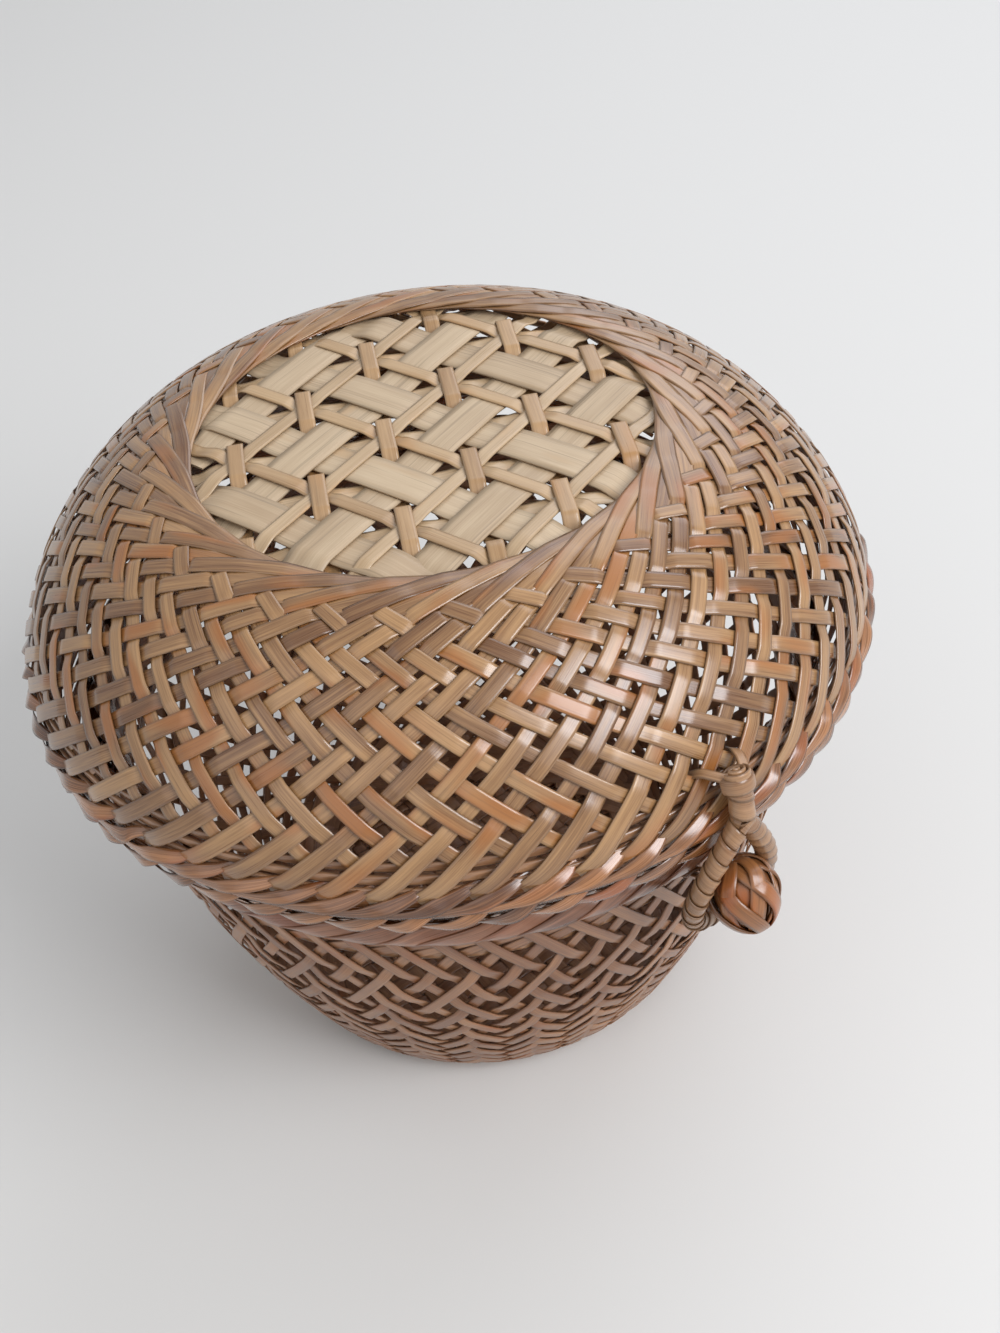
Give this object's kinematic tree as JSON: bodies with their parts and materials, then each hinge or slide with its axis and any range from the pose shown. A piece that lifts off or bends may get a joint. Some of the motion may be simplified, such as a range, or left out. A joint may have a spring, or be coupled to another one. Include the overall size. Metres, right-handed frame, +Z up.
{
  "type": "lidded basket",
  "caption": "Round woven bamboo basket that tapers to its base, with a domed hinged lid, a flat star-woven top panel, twisted borders and a loop-and-knob clasp",
  "frame": {"origin": "centre of the round base mat's flat underside, on the surface that the basket stands on", "axes": "+Z up through the lid; -Y towards the clasp, +Y towards the hinge; +X to the right as seen from the clasp's side"},
  "size_m": [0.24, 0.2538, 0.1956],
  "materials": {
    "dome_strip": "split bamboo, tan to golden with orange-brown patches, satin gloss",
    "body_strip": "split bamboo, darker tan, satin",
    "rope_strand": "split rattan strands, brown, glossy on their backs",
    "wide_strip": "flat pale straw strip with fine lengthwise splits, matt to satin",
    "narrow_strip": "narrow tan strip, satin",
    "hoop_cane": "brown cane, matt",
    "binding_strip": "olive tan rattan peel, wound, satin",
    "knob_braid": "orange tan braided rattan, glossy",
    "rattan_core": "round rattan core, matt"
  },
  "bodies": {
    "basket": {"body_wall": "body_strip", "base_mat": "body_strip", "body_rope": "rope_strand", "body_hoop": "hoop_cane", "hinge_pin": "rattan_core", "body_hinge_tie_left": "rattan_core", "body_hinge_tie_right": "rattan_core", "clasp_knob": "knob_braid", "clasp_knob_stem": "knob_braid", "clasp_stem_knot": "knob_braid"},
    "lid": {"lid_dome": "dome_strip", "lid_crown_ring": "dome_strip", "lid_rope": "rope_strand", "lid_hoop_lower": "hoop_cane", "lid_hoop_upper": "hoop_cane", "lid_hinge_tie": "rattan_core", "clasp_staple": "binding_strip", "panel_wide_a1": "wide_strip", "panel_wide_a2": "wide_strip", "panel_wide_a3": "wide_strip", "panel_wide_a4": "wide_strip", "panel_wide_a5": "wide_strip", "panel_wide_b1": "wide_strip", "panel_wide_b2": "wide_strip", "panel_wide_b3": "wide_strip", "panel_wide_b4": "wide_strip", "panel_wide_b5": "wide_strip", "panel_narrow_a1": "narrow_strip", "panel_narrow_a2": "narrow_strip", "panel_narrow_a3": "narrow_strip", "panel_narrow_a4": "narrow_strip", "panel_narrow_b1": "narrow_strip", "panel_narrow_b2": "narrow_strip", "panel_narrow_b3": "narrow_strip", "panel_narrow_b4": "narrow_strip"},
    "clasp_loop": {"loop_core": "rattan_core", "loop_binding": "binding_strip", "loop_neck_binding": "binding_strip"}
  },
  "joints": [
    {"name": "lid_hinge", "type": "hinge", "parent": "basket", "child": "lid", "pos_m": [0, 0.11096, 0.118], "axis": [-1, 0, 0], "range_deg": [0, 105]},
    {"name": "loop_swing", "type": "hinge", "parent": "lid", "child": "clasp_loop", "pos_m": [0, -0.1211, 0.156], "axis": [-1, 0, 0], "range_deg": [0, 100]}
  ]
}
